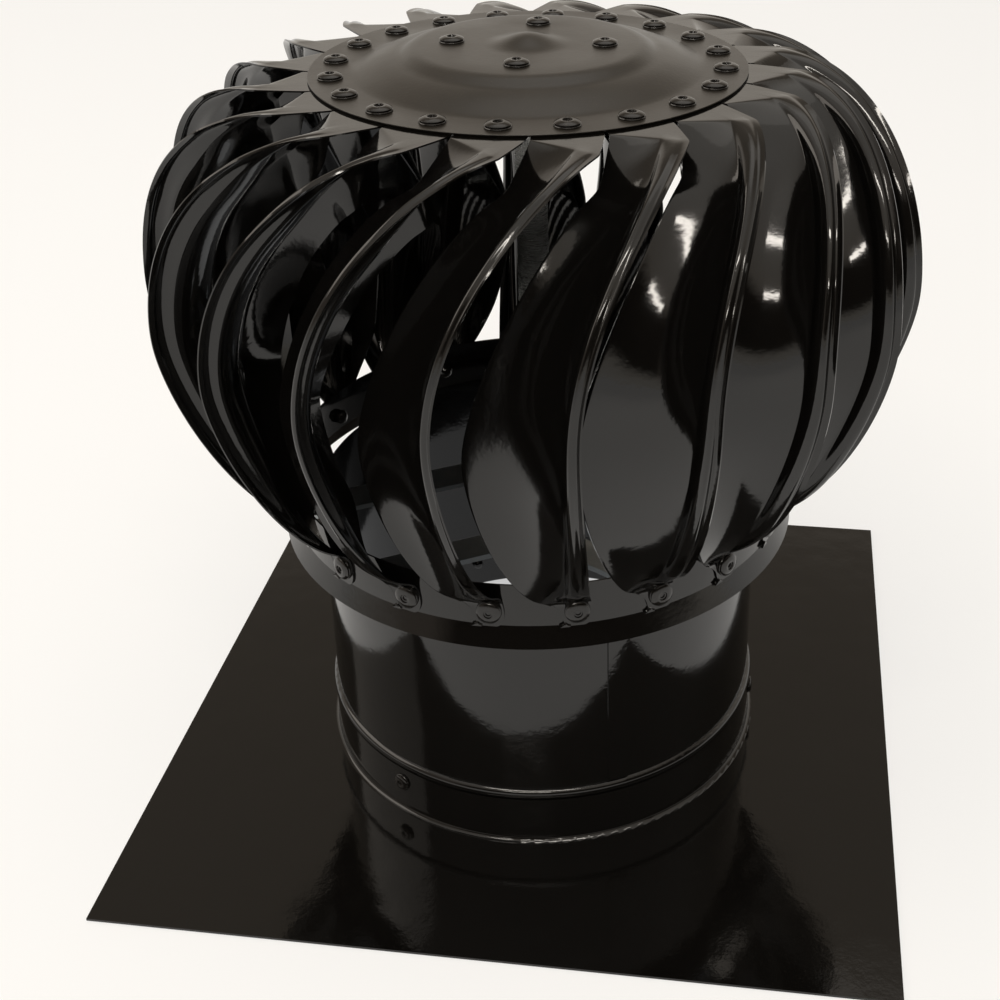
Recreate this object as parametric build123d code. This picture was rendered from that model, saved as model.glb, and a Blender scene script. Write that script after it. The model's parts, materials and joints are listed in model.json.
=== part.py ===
from build123d import *
import os
from math import asin, cos, degrees, pi, radians, sin

# Roof turbine ventilator: a vaned head that the wind turns on a fixed shaft above a 150 mm duct neck.
# Millimetres. Origin: middle of the base plate's underside, +Z up. Angles: degrees from +X towards +Y.

# ---- base plate and its drawn collar
BASE_SIDE = 250.0
BASE_SHEET = 0.8
COLLAR_HEIGHT = 18.0         # top edge of the collar above the underside of the plate
COLLAR_BEND = 1.8            # bend radius where the plate turns up into the collar

# ---- neck tube
NECK_R = 74.5                # outside
NECK_SHEET = 0.6
NECK_FOOT_Z = 2.0
NECK_TOP_Z = 96.0
NECK_BEAD_HEIGHT = 1.4       # how far the stop bead stands proud; it rests on the collar
NECK_BEAD_WIDTH = 4.0
NECK_IN_COLLAR = 0.05        # radial clearance of the neck in the collar
SEAM_ANGLE = -64.7           # free edge of the lap seam
SEAM_WIDTH = 7.0

# ---- blind rivets: 4 mm in the head, 3.2 mm in the collar
RIVET_R = 2.0
RIVET_HEAD_R = 3.9
RIVET_HEAD_HEIGHT = 1.7
SMALL_RIVET_R = 1.6
SMALL_RIVET_HEAD_R = 3.0
SMALL_RIVET_HEAD_HEIGHT = 1.2
RIVET_TAIL = 3.0             # length of the set tail behind the sheets
RIVET_TAIL_SWELL = 0.6       # radius of the tail over that of the shank
RIVET_HOLE_CLEARANCE = 0.05
RIVET_BACK_CLEARANCE = 0.06  # a set tail just clears the hollow side of a round wall
COLLAR_RIVETS = 3
COLLAR_RIVET_Z = 12.0

# ---- turning head
VANES = 20
FIRST_VANE_ANGLE = -52.7     # top rivet of vane_01
VANE_SHEET = 0.5
BELLY_R = 122.5              # widest radius of the head, at the vanes' outer lips
BELLY_Z = 173.5
LIP_FULLNESS_UP = 2.0        # 2 is an ellipse, 1 a straight line
LIP_FULLNESS_DOWN = 1.5
LIP_BELLY_LAG = -22.9        # angle of the lip behind the vane's top rivet
BACK_BELLY_R = 98.6          # widest radius of the vanes' inner edges
BACK_BELLY_Z = 153.0
BACK_FULLNESS_UP = 1.6
BACK_FULLNESS_DOWN = 1.7
BACK_BELLY_LAG = -43.6
BEAD_WIDTH = 5.6
BEAD_HEIGHT = 1.9
BEAD_FLANK = 1.6             # width of each sloping side of the bead
BEAD_TO_LIP = 1.4            # flat strip left outside the bead
BEAD_GROWS_OVER = 0.16       # shares of the lip over which the bead grows and fades
BEAD_FADES_OVER = 0.14
VANE_STATIONS = 9

# ---- top end of a vane: flat tab under the cap rim, folded along a slanting line
TAB_INNER_R = 54.0
TAB_OUTER_R = 67.2
TAB_LEFT = -9.7
TAB_RIGHT = 7.8
TIP_R = 83.0
TIP_ANGLE = 2.5
FOLD_LENGTH = 1.6            # the fold starts this far outside the tab's left corner
CORNER_R = 79.0              # where the narrow tab side ends and the inner edge flares out
CORNER_LAG = -14.7
CORNER_DROP = 11.0           # below the top face of the tab
CORNER_SHARE = 0.09          # how far down the lip the matching section stands

# ---- foot of a vane: a rounded tab riveted on the ring
FOOT_RIVET_LAG = -20.5
FOOT_LIP_LAG = -18.0
FOOT_BACK_LAG = -26.1
FOOT_LIP_RISE = 5.4          # lip end above the foot rivet
FOOT_BACK_RISE = 2.9
FOOT_WIDTH = 8.6             # lower edge
FOOT_DROP = 5.2              # lower edge below the foot rivet

# ---- bottom ring of the head
RING_OVER_NECK = 9.0         # outside of the band beyond the outside of the neck
RING_SHEET = 0.6
RING_TOP_Z = 108.0
RING_FOLD_Z = 93.5           # where the band ends and the skirt flares out
RING_FLARE = 2.9             # how far the skirt flares out beyond the band
RING_BOTTOM_Z = 87.0
RING_RIVET_Z = 98.5

# ---- cap
CAP_SHEET = 0.8
CAP_R = 66.5
CAP_RIM_Z = 240.2            # top face of the rim
CAP_RIM_INNER_R = 53.0
CAP_SLOPE_R = 40.5           # inner end of the shallow cone
CAP_SLOPE_RISE = 4.2
CAP_STEP_R = 36.5            # edge of the raised middle
CAP_RISE = 6.8               # top of the raised middle above the rim
CAP_STEP_ROUND = 2.2
CAP_DOME_R = 11.3
CAP_DOME_HEIGHT = 3.0

# ---- hub, shaft and bearings
HUB_RIVETS = 4
HUB_RIVET_R = 23.3
HUB_RIVET_ANGLE = 1.2
HUB_FLANGE_R = 30.0
HUB_SHEET = 1.5
HUB_LIP = 1.5                # width of the ledge that bears on the outer ring
CUP_WALL = 1.4
SHAFT_R = 5.0
SHAFT_BOTTOM_Z = 59.0
SHAFT_END = 2.4              # shaft left above the upper bearing
CIRCLIP_SHEET = 0.8
CIRCLIP_DEPTH = 0.3
CIRCLIP_WIDTH = 2.0
CIRCLIP_GAP = 70.0
UPPER_BORE_R, UPPER_OUTER_R, UPPER_WIDTH, UPPER_BALL_R = 4.0, 11.0, 7.0, 1.985
LOWER_BORE_R, LOWER_OUTER_R, LOWER_WIDTH, LOWER_BALL_R = SHAFT_R, 13.0, 8.0, 2.381
BALLS = 7
BALL_CLEARANCE = 0.1
CAGE_SHARE = 0.34            # cage thickness as part of the ball's diameter

# ---- spider in the neck and arms in the head
ARMS = 3
ARM_ANGLE = 90.0
ARM_WIDTH = 12.0
ARM_EDGE = 0.05              # clearance of a foot from the wall it is welded to
SPIDER_SHEET = 2.0
SPIDER_Z = 72.0              # top face
SPIDER_FOOT = 14.0
SPIDER_HUB_R = 15.0
LOWER_ARM_SHEET = 1.5
LOWER_ARM_Z = 102.5          # top face
LOWER_ARM_FOOT = 5.0
NUT_FLATS = 17.0
NUT_HEIGHT = 6.0
WASHER_R = 10.0
WASHER_SHEET = 1.6

# ---- worked out
COLLAR_INNER_R = NECK_R + NECK_IN_COLLAR
COLLAR_R = COLLAR_INNER_R + BASE_SHEET
CAP_RIVET_R = (CAP_R + CAP_RIM_INNER_R) / 2
TAB_TOP_Z = CAP_RIM_Z - CAP_SHEET
PLATEAU_UNDER_Z = CAP_RIM_Z + CAP_RISE - CAP_SHEET
UPPER_BEARING_TOP_Z = PLATEAU_UNDER_Z - HUB_SHEET
UPPER_BEARING_Z = UPPER_BEARING_TOP_Z - UPPER_WIDTH
LOWER_BEARING_Z = LOWER_ARM_Z
RING_R = NECK_R + RING_OVER_NECK
RING_SKIRT_R = RING_R + RING_FLARE
FOOT_SURFACE_R = RING_R + VANE_SHEET
FOOT_SAG = FOOT_SURFACE_R * (1 - cos(radians((FOOT_LIP_LAG - FOOT_BACK_LAG) / 2)))


def polar(radius, angle, height=0.0):
    return Vector(radius * cos(radians(angle)), radius * sin(radians(angle)), height)


def turned(outline):
    """Turn a closed outline of (radius, height) round the axis."""
    return revolve(Plane.XZ * make_face(outline), Axis.Z)


def sheet_turned(path, thickness, side):
    """Turn a sheet of one thickness, given the line of one of its faces."""
    return turned(offset(path, thickness, side=side, closed=True).edges())


def round_wall(inner_r, outer_r, bottom, top):
    wall = Cylinder(outer_r, top - bottom) - Cylinder(inner_r, top - bottom)
    return Pos(0, 0, (bottom + top) / 2) * wall


def outward(angle, radius, height):
    """A place on a round wall, with local Z pointing straight out of it."""
    return Location(Plane(origin=polar(radius, angle, height), x_dir=(0, 0, 1), z_dir=polar(1, angle)))


def around(count, first_angle):
    return [first_angle + 360.0 * i / count for i in range(count)]


# ------------------------------------------------------------------ rivets

def blind_rivet(shank_r, head_r, head_height, grip):
    """Dome head on top of local z = 0, set tail under the riveted sheets."""
    tail_r = shank_r + RIVET_TAIL_SWELL
    tail = -grip - RIVET_BACK_CLEARANCE
    outline = Polyline(
        (0, head_height),
        (head_r * 0.6, head_height),
        (head_r, 0),
        (shank_r, 0),
        (shank_r, tail),
        (tail_r, tail),
        (0, tail - RIVET_TAIL),
        close=True,
    )
    return turned(outline)


def rivet_hole(shank_r, depth):
    return Cylinder(shank_r + RIVET_HOLE_CLEARANCE, depth)


def cap_rivet_places():
    return [Location(polar(CAP_RIVET_R, a, CAP_RIM_Z)) for a in around(VANES, FIRST_VANE_ANGLE)]


def ring_rivet_places():
    first = FIRST_VANE_ANGLE + FOOT_RIVET_LAG
    return [outward(a, FOOT_SURFACE_R, RING_RIVET_Z) for a in around(VANES, first)]


def hub_rivet_places():
    top = CAP_RIM_Z + CAP_RISE
    return [Location(polar(HUB_RIVET_R, a, top)) for a in around(HUB_RIVETS, HUB_RIVET_ANGLE)]


def collar_rivet_places():
    return [outward(a, COLLAR_R, COLLAR_RIVET_Z) for a in around(COLLAR_RIVETS, 0)]


def rivet_group(places, shank_r, head_r, head_height, grip):
    rivet = blind_rivet(shank_r, head_r, head_height, grip)
    return [place * rivet for place in places]


# ------------------------------------------------------------------ base and neck

def base_plate():
    bend_z = BASE_SHEET + COLLAR_BEND
    bend_r = COLLAR_R + COLLAR_BEND
    face = Line((COLLAR_R, COLLAR_HEIGHT), (COLLAR_R, bend_z))
    face += CenterArc((bend_r, bend_z), COLLAR_BEND, 180, 90)
    collar = sheet_turned(face, BASE_SHEET, Side.RIGHT)
    plate = Box(BASE_SIDE, BASE_SIDE, BASE_SHEET) - Cylinder(bend_r, BASE_SHEET)
    base = Pos(0, 0, BASE_SHEET / 2) * plate + collar
    for place in collar_rivet_places():
        base -= place * rivet_hole(SMALL_RIVET_R, 6 * BASE_SHEET)
    return base


def neck_tube():
    """Rolled tube with a stop bead above the collar and a lap seam down one side."""
    bead_z = COLLAR_HEIGHT + NECK_BEAD_WIDTH / 2
    half = NECK_BEAD_WIDTH / 2
    face = Line((NECK_R, NECK_FOOT_Z), (NECK_R, bead_z - half))
    face += ThreePointArc((NECK_R, bead_z - half), (NECK_R + NECK_BEAD_HEIGHT, bead_z), (NECK_R, bead_z + half))
    face += Line((NECK_R, bead_z + half), (NECK_R, NECK_TOP_Z))
    tube = sheet_turned(face, NECK_SHEET, Side.LEFT)
    seam_sweep = 360.0 * SEAM_WIDTH / (2 * pi * NECK_R)
    outline = Polyline(
        (NECK_R, bead_z + half),
        (NECK_R + NECK_SHEET, bead_z + half + NECK_SHEET),
        (NECK_R + NECK_SHEET, NECK_TOP_Z),
        (NECK_R, NECK_TOP_Z),
        close=True,
    )
    lap = revolve(Plane.XZ * make_face(outline), Axis.Z, revolution_arc=seam_sweep)
    tube += Rot(0, 0, SEAM_ANGLE) * lap
    for place in collar_rivet_places():
        tube -= place * rivet_hole(SMALL_RIVET_R, 6 * BASE_SHEET)
    return tube


# ------------------------------------------------------------------ vanes

def bulge(share, fullness):
    """Share of the full bulge left at a share of the way from the belly to an end."""
    return (1 - share**fullness) ** (1 / fullness)


def barrel_edge(top, belly, foot, fullness_up, fullness_down):
    """Edge of a vane as a smooth line through (radius, angle, height) places of a barrel."""
    points = []
    for end, fullness, shares in ((top, fullness_up, (1, 0.92, 0.74, 0.4, 0)),
                                  (foot, fullness_down, (0.3, 0.6, 0.85, 1))):
        for share in shares:
            out = bulge(share, fullness)
            radius = end[0] + (belly[0] - end[0]) * out
            angle = end[1] + (belly[1] - end[1]) * out
            height = belly[2] + (end[2] - belly[2]) * share
            points.append(polar(radius, angle, height))
    return Spline(*points)


def lip_edge():
    tip = (TIP_R, TIP_ANGLE, TAB_TOP_Z)
    belly = (BELLY_R, LIP_BELLY_LAG, BELLY_Z)
    foot = (FOOT_SURFACE_R + FOOT_SAG, FOOT_LIP_LAG, RING_RIVET_Z + FOOT_LIP_RISE)
    return barrel_edge(tip, belly, foot, LIP_FULLNESS_UP, LIP_FULLNESS_DOWN)


def back_edge():
    corner = (CORNER_R, CORNER_LAG, TAB_TOP_Z - CORNER_DROP)
    belly = (BACK_BELLY_R, BACK_BELLY_LAG, BACK_BELLY_Z)
    foot = (FOOT_SURFACE_R + FOOT_SAG, FOOT_BACK_LAG, RING_RIVET_Z + FOOT_BACK_RISE)
    return barrel_edge(corner, belly, foot, BACK_FULLNESS_UP, BACK_FULLNESS_DOWN)


def strip_section(back, lip, along, bead_height):
    """Cut through the strip from its inner edge to its lip, with the stiffening bead near the lip."""
    across = lip - back
    width = across.length
    plane = Plane(origin=back, x_dir=across, z_dir=across.cross(along).cross(across))
    bead_end = width - BEAD_TO_LIP
    bead_start = bead_end - BEAD_WIDTH
    crown_start = bead_start + BEAD_FLANK
    crown_end = bead_end - BEAD_FLANK
    nip = VANE_SHEET / 3
    outline = Polyline(
        (0, 0),
        (bead_start, 0),
        (crown_start, bead_height),
        (crown_end, bead_height),
        (bead_end, 0),
        (width, 0),
        (width, -VANE_SHEET),
        (bead_end - nip, -VANE_SHEET),
        (crown_end - nip, bead_height - VANE_SHEET),
        (crown_start + nip, bead_height - VANE_SHEET),
        (bead_start + nip, -VANE_SHEET),
        (0, -VANE_SHEET),
        close=True,
    )
    return plane * make_face(outline)


def bead_height_at(share):
    """The bead grows out of the tip and fades away above the foot."""
    grow = min(1, share / BEAD_GROWS_OVER)
    fade = min(1, (1 - share) / BEAD_FADES_OVER)
    return BEAD_HEIGHT * min(grow, fade)


def strip_sections():
    """Sections from the corner under the tab down to the foot line."""
    lip = lip_edge()
    back = back_edge()
    sections = []
    for i in range(VANE_STATIONS):
        share = i / (VANE_STATIONS - 1)
        lip_share = CORNER_SHARE + (1 - CORNER_SHARE) * share
        along = (lip % lip_share) + (back % share)
        if share == 1:
            along = along.normalized() + Vector(0, 0, -1)
        sections.append(strip_section(back @ share, lip @ lip_share, along, bead_height_at(lip_share)))
    return sections


def tab_sections():
    """Flat sections under the cap rim, and the slanting fold out to the tip."""
    outward_from_axis = Vector(1, 0, 0)
    inner = [polar(TAB_INNER_R, a, TAB_TOP_Z) for a in (TAB_LEFT, TAB_RIGHT)]
    outer = [polar(TAB_OUTER_R, a, TAB_TOP_Z) for a in (TAB_LEFT, TAB_RIGHT)]
    fold = [polar(TAB_OUTER_R + FOLD_LENGTH, TAB_LEFT, TAB_TOP_Z), polar(TIP_R, TIP_ANGLE, TAB_TOP_Z)]
    return [strip_section(left, right, outward_from_axis, 0) for left, right in (inner, outer, fold)]


def foot_section():
    """Lower edge of the foot, below its rivet."""
    half = FOOT_WIDTH / 2
    middle = polar(FOOT_SURFACE_R, FOOT_RIVET_LAG, RING_RIVET_Z - FOOT_DROP)
    sideways = polar(half, FOOT_RIVET_LAG + 90)
    return strip_section(middle - sideways, middle + sideways, Vector(0, 0, -1), 0)


def vane():
    strip = strip_sections()
    blank = loft(tab_sections() + [strip[0]], ruled=True) + loft(strip) + loft([strip[-1], foot_section()])
    blank -= Location(polar(CAP_RIVET_R, 0, TAB_TOP_Z)) * rivet_hole(RIVET_R, 4 * VANE_SHEET)
    return blank - outward(FOOT_RIVET_LAG, FOOT_SURFACE_R, RING_RIVET_Z) * rivet_hole(RIVET_R, 4 * VANE_SHEET)


# ------------------------------------------------------------------ cap and ring

def top_cap():
    rim_z = CAP_RIM_Z
    slope_z = rim_z + CAP_SLOPE_RISE
    top_z = rim_z + CAP_RISE
    face = FilletPolyline(
        (CAP_R, rim_z),
        (CAP_RIM_INNER_R, rim_z),
        (CAP_SLOPE_R, slope_z),
        (CAP_STEP_R, top_z),
        (CAP_DOME_R, top_z),
        radius=CAP_STEP_ROUND,
    )
    dome_r = (CAP_DOME_R**2 + CAP_DOME_HEIGHT**2) / (2 * CAP_DOME_HEIGHT)
    sweep = degrees(asin(CAP_DOME_R / dome_r))
    face += CenterArc((0, top_z + CAP_DOME_HEIGHT - dome_r), dome_r, 90 - sweep, sweep)
    cap = sheet_turned(face, CAP_SHEET, Side.LEFT)
    for place in cap_rivet_places():
        cap -= place * rivet_hole(RIVET_R, 4 * CAP_SHEET)
    for place in hub_rivet_places():
        cap -= place * rivet_hole(RIVET_R, 4 * CAP_SHEET)
    return cap


def bottom_ring():
    face = Polyline((RING_R, RING_TOP_Z), (RING_R, RING_FOLD_Z), (RING_SKIRT_R, RING_BOTTOM_Z))
    ring = sheet_turned(face, RING_SHEET, Side.RIGHT)
    for place in ring_rivet_places():
        ring -= place * rivet_hole(RIVET_R, 8 * RING_SHEET)
    return ring


# ------------------------------------------------------------------ bearings

def bearing_pieces(bore_r, outer_r, width, ball_r, bottom):
    """Inner ring, outer ring, balls and cage of an open deep-groove bearing."""
    pitch_r = (bore_r + outer_r) / 2
    middle = Pos(0, 0, bottom + width / 2)
    groove = Torus(pitch_r, ball_r + BALL_CLEARANCE)
    land = ball_r * 0.62
    inner = Cylinder(pitch_r - land, width) - Cylinder(bore_r, width) - groove
    outer = Cylinder(outer_r, width) - Cylinder(pitch_r + land, width) - groove
    places = [Location(polar(pitch_r, a)) for a in around(BALLS, 0)]
    balls = [middle * place * Sphere(ball_r) for place in places]
    thick = 2 * ball_r * CAGE_SHARE
    cage = Cylinder(pitch_r + thick / 2, ball_r) - Cylinder(pitch_r - thick / 2, ball_r)
    for place in places:
        cage -= place * Sphere(ball_r + BALL_CLEARANCE)
    return middle * inner, middle * outer, balls, middle * cage


# ------------------------------------------------------------------ hub, shaft, spider and arms

def hub_cup():
    """Flange under the cap's raised middle; its cup takes the upper bearing from below."""
    top = PLATEAU_UNDER_Z
    ledge = UPPER_OUTER_R - HUB_LIP
    outline = Polyline(
        (ledge, top),
        (HUB_FLANGE_R, top),
        (HUB_FLANGE_R, top - HUB_SHEET),
        (UPPER_OUTER_R + CUP_WALL, top - HUB_SHEET),
        (UPPER_OUTER_R + CUP_WALL, UPPER_BEARING_Z),
        (UPPER_OUTER_R, UPPER_BEARING_Z),
        (UPPER_OUTER_R, top - HUB_SHEET),
        (ledge, top - HUB_SHEET),
        close=True,
    )
    hub = turned(outline)
    for place in hub_rivet_places():
        hub -= place * rivet_hole(RIVET_R, 4 * (CAP_SHEET + HUB_SHEET))
    return hub


def shaft():
    main = Pos(0, 0, (SHAFT_BOTTOM_Z + UPPER_BEARING_Z) / 2) * Cylinder(SHAFT_R, UPPER_BEARING_Z - SHAFT_BOTTOM_Z)
    top = UPPER_BEARING_TOP_Z + SHAFT_END
    journal = Pos(0, 0, (UPPER_BEARING_Z + top) / 2) * Cylinder(UPPER_BORE_R, top - UPPER_BEARING_Z)
    groove = round_wall(UPPER_BORE_R - CIRCLIP_DEPTH, UPPER_BORE_R + CIRCLIP_DEPTH, UPPER_BEARING_TOP_Z,
                        UPPER_BEARING_TOP_Z + CIRCLIP_SHEET)
    turned_shaft = main + journal - groove
    ends = turned_shaft.edges().filter_by(GeomType.CIRCLE).sort_by(Axis.Z)
    return chamfer([ends[0], ends[-1]], 0.6)


def shaft_circlip():
    inner = UPPER_BORE_R - CIRCLIP_DEPTH
    bottom = UPPER_BEARING_TOP_Z
    clip = round_wall(inner, inner + CIRCLIP_WIDTH, bottom, bottom + CIRCLIP_SHEET)
    reach = 2 * (inner + CIRCLIP_WIDTH)
    gap = Polyline((0, 0), polar(reach, -CIRCLIP_GAP / 2), polar(reach, CIRCLIP_GAP / 2), close=True)
    return clip - Pos(0, 0, bottom) * extrude(make_face(gap), CIRCLIP_SHEET)


def three_arms(hub_r, wall_r, sheet, top, foot, foot_up):
    """Flat hub and arms; each arm's foot is bent along the round wall that carries it."""
    reach = wall_r - ARM_EDGE
    arms = Cylinder(hub_r, sheet)
    feet = None
    low, high = (-sheet / 2, foot) if foot_up else (-foot, sheet / 2)
    shell = round_wall(reach - sheet, reach, low, high)
    for angle in around(ARMS, ARM_ANGLE):
        arm = Rot(0, 0, angle) * Pos(reach / 2, 0, 0) * Box(reach, ARM_WIDTH, sheet)
        foot_block = Rot(0, 0, angle) * Pos(reach, 0, 0) * Box(reach, ARM_WIDTH, 4 * foot)
        arms += arm
        feet = shell & foot_block if feet is None else feet + (shell & foot_block)
    arms = arms & Cylinder(reach, sheet)
    return Pos(0, 0, top - sheet / 2) * (arms + feet)


def neck_spider():
    spider = three_arms(SPIDER_HUB_R, NECK_R - NECK_SHEET, SPIDER_SHEET, SPIDER_Z, SPIDER_FOOT, False)
    return spider - Pos(0, 0, SPIDER_Z) * Cylinder(SHAFT_R, 4 * SPIDER_SHEET)


def lower_arms():
    """Arms across the ring, with a cup for the lower bearing standing on them."""
    arms = three_arms(LOWER_OUTER_R + CUP_WALL, RING_R - RING_SHEET, LOWER_ARM_SHEET, LOWER_ARM_Z,
                      LOWER_ARM_FOOT, True)
    cup = round_wall(LOWER_OUTER_R, LOWER_OUTER_R + CUP_WALL, LOWER_ARM_Z, LOWER_ARM_Z + LOWER_WIDTH)
    hole = Cylinder(LOWER_OUTER_R - HUB_LIP, 4 * LOWER_ARM_SHEET)
    return arms + cup - Pos(0, 0, LOWER_ARM_Z) * hole


def spider_nuts():
    hexagon = RegularPolygon(NUT_FLATS / 2, 6, major_radius=False)
    nut = extrude(hexagon, NUT_HEIGHT) - Pos(0, 0, NUT_HEIGHT / 2) * Cylinder(SHAFT_R, NUT_HEIGHT)
    above = SPIDER_Z + WASHER_SHEET
    below = SPIDER_Z - SPIDER_SHEET - WASHER_SHEET - NUT_HEIGHT
    return [Pos(0, 0, above) * nut, Pos(0, 0, below) * nut]


def spider_washers():
    top = round_wall(SHAFT_R, WASHER_R, SPIDER_Z, SPIDER_Z + WASHER_SHEET)
    under = SPIDER_Z - SPIDER_SHEET
    return [top, round_wall(SHAFT_R, WASHER_R, under - WASHER_SHEET, under)]


# ------------------------------------------------------------------ every node

def all_parts():
    upper = bearing_pieces(UPPER_BORE_R, UPPER_OUTER_R, UPPER_WIDTH, UPPER_BALL_R, UPPER_BEARING_Z)
    lower = bearing_pieces(LOWER_BORE_R, LOWER_OUTER_R, LOWER_WIDTH, LOWER_BALL_R, LOWER_BEARING_Z)
    parts = {
        "base_plate": base_plate(),
        "neck_tube": neck_tube(),
        "collar_rivets": rivet_group(collar_rivet_places(), SMALL_RIVET_R, SMALL_RIVET_HEAD_R,
                                     SMALL_RIVET_HEAD_HEIGHT, COLLAR_R - NECK_R + NECK_SHEET),
        "neck_spider": neck_spider(),
        "spider_nuts": spider_nuts(),
        "spider_washers": spider_washers(),
        "shaft": shaft(),
        "shaft_circlip": shaft_circlip(),
        "top_cap": top_cap(),
        "bottom_ring": bottom_ring(),
        "cap_rivets": rivet_group(cap_rivet_places(), RIVET_R, RIVET_HEAD_R, RIVET_HEAD_HEIGHT,
                                  CAP_SHEET + VANE_SHEET),
        "ring_rivets": rivet_group(ring_rivet_places(), RIVET_R, RIVET_HEAD_R, RIVET_HEAD_HEIGHT,
                                   VANE_SHEET + RING_SHEET),
        "hub_cup": hub_cup(),
        "hub_rivets": rivet_group(hub_rivet_places(), RIVET_R, RIVET_HEAD_R, RIVET_HEAD_HEIGHT,
                                  CAP_SHEET + HUB_SHEET),
        "lower_arms": lower_arms(),
    }
    for name, pieces in (("upper", upper), ("lower", lower)):
        for piece, shape in zip(("inner_ring", "outer_ring", "balls", "cage"), pieces):
            parts[f"{name}_bearing_{piece}"] = shape
    one_vane = vane()
    for i, angle in enumerate(around(VANES, FIRST_VANE_ANGLE), start=1):
        parts[f"vane_{i:02d}"] = Rot(0, 0, angle) * one_vane
    return parts


os.makedirs("parts", exist_ok=True)
for name, shape in all_parts().items():
    solid = Compound(children=shape) if isinstance(shape, list) else shape
    export_step(solid, f"parts/{name}.step")
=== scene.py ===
import json
import math

import bpy
import bmesh
from mathutils import Matrix, Vector

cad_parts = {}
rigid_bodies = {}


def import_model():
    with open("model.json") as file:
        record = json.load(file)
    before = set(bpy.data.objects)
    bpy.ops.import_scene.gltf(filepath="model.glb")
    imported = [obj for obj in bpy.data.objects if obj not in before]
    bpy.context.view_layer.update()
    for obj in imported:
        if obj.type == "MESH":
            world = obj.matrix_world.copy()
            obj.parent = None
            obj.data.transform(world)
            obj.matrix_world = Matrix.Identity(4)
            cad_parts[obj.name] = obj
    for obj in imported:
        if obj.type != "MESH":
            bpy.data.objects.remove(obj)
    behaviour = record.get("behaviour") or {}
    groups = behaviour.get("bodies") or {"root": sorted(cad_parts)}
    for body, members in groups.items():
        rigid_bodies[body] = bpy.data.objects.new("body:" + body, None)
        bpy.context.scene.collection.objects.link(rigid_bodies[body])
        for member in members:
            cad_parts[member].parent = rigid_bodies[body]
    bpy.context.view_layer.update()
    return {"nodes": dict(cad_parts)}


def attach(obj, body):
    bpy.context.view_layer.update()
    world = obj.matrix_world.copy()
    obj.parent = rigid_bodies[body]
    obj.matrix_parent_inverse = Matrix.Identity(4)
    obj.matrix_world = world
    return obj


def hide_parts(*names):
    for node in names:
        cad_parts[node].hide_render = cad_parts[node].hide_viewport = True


bl_info = {
    "name": "Roof turbine ventilator",
    "version": (1, 0, 0),
    "blender": (4, 5, 0),
    "location": "3D View > Sidebar > Turbine",
    "description": "Dresses the roof turbine ventilator: vanes, rivets, painted sheet, bearings and stage",
    "category": "Add Mesh",
}

for leftover in list(bpy.data.objects):
    bpy.data.objects.remove(leftover, do_unlink=True)

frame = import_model()

MM = 0.001


# ------------------------------------------------------------------ sizes and colours

def length(name, description, default):
    return bpy.props.FloatProperty(name=name, description=description, default=default, unit="LENGTH",
                                   precision=5)


def turn(name, description, degrees):
    return bpy.props.FloatProperty(name=name, description=description, default=math.radians(degrees),
                                   unit="ROTATION")


def plain(name, description, default):
    return bpy.props.FloatProperty(name=name, description=description, default=default)


def count(name, description, default):
    return bpy.props.IntProperty(name=name, description=description, default=default, min=1)


def colour(name, description, hex_value):
    return bpy.props.StringProperty(name=name, description=description, default=hex_value)


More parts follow.
